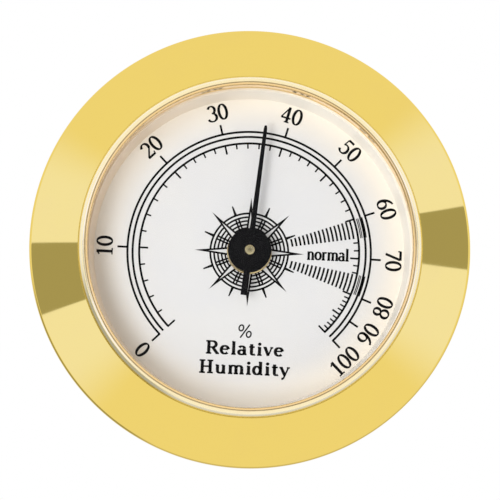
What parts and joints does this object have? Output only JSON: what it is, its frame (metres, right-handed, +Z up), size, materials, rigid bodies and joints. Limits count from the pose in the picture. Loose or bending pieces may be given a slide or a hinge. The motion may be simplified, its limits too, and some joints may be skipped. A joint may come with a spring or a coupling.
{
  "type": "dial hygrometer",
  "caption": "Small round flush-mount dial hygrometer with polished gold bezel, glass, white dial, black pointer, humidity coil and rear calibration.",
  "frame": {"origin": "on the gauge's axis, in the plane of the flange's rear face, which rests on the panel", "axes": "-Y is the way the dial faces, +Z is up on the dial, +X is to the reader's right; the case reaches back along +Y"},
  "size_m": [0.045, 0.0147, 0.045],
  "materials": {
    "polished_gold": "gold-coloured polished plating",
    "drawn_case": "drawn sheet, satin gold plating",
    "lens_glass": "clear flat glass",
    "gasket_rubber": "matt black",
    "spacer_plastic": "off-white, satin",
    "sleeve_plastic": "black, matt",
    "dial_enamel": "matt white enamel with black print",
    "dial_ink": "black screen ink",
    "steel_sheet": "zinc plated",
    "turned_brass": "turned, bright",
    "arbor_steel": "polished",
    "pointer_black": "satin black paint",
    "coil_metal": "thin rolled bronze strip",
    "coil_film": "pale moisture-sensitive film",
    "sheet_brass": "stamped sheet",
    "rivet_metal": "bright"
  },
  "bodies": {
    "case": {"bezel": "polished_gold", "case_cup": "drawn_case", "bead_ring": "polished_gold", "lens": "lens_glass", "lens_gasket": "gasket_rubber", "dial_spacer": "spacer_plastic", "support_sleeve": "sleeve_plastic", "dial_plate": "dial_enamel", "backing_plate": "steel_sheet", "front_bush": "turned_brass", "bridge": "sheet_brass", "bridge_rivet_left": "rivet_metal", "bridge_rivet_right": "rivet_metal"},
    "calibrator": {"calibration_hub": "turned_brass", "anchor_arm": "sheet_brass", "anchor_post": "turned_brass", "coil_strip": "coil_metal", "coil_film": "coil_film", "friction_washer": "steel_sheet", "retaining_clip": "steel_sheet"},
    "pointer": {"arbor": "arbor_steel", "pointer": "pointer_black", "pointer_collet": "turned_brass", "coil_collet": "turned_brass"}
  },
  "joints": [
    {"name": "calibration_turn", "type": "hinge", "parent": "case", "child": "calibrator", "pos_m": [0, 0.009, 0], "axis": [0, 1, 0], "range_deg": [-25, 25]},
    {"name": "pointer_turn", "type": "hinge", "parent": "calibrator", "child": "pointer", "pos_m": [0, 0.006, 0], "axis": [0, 1, 0], "range_deg": [-140.1, 129.4], "stiffness_Nm_per_rad": 0.0001, "deforming": ["coil_strip", "coil_film"]}
  ]
}
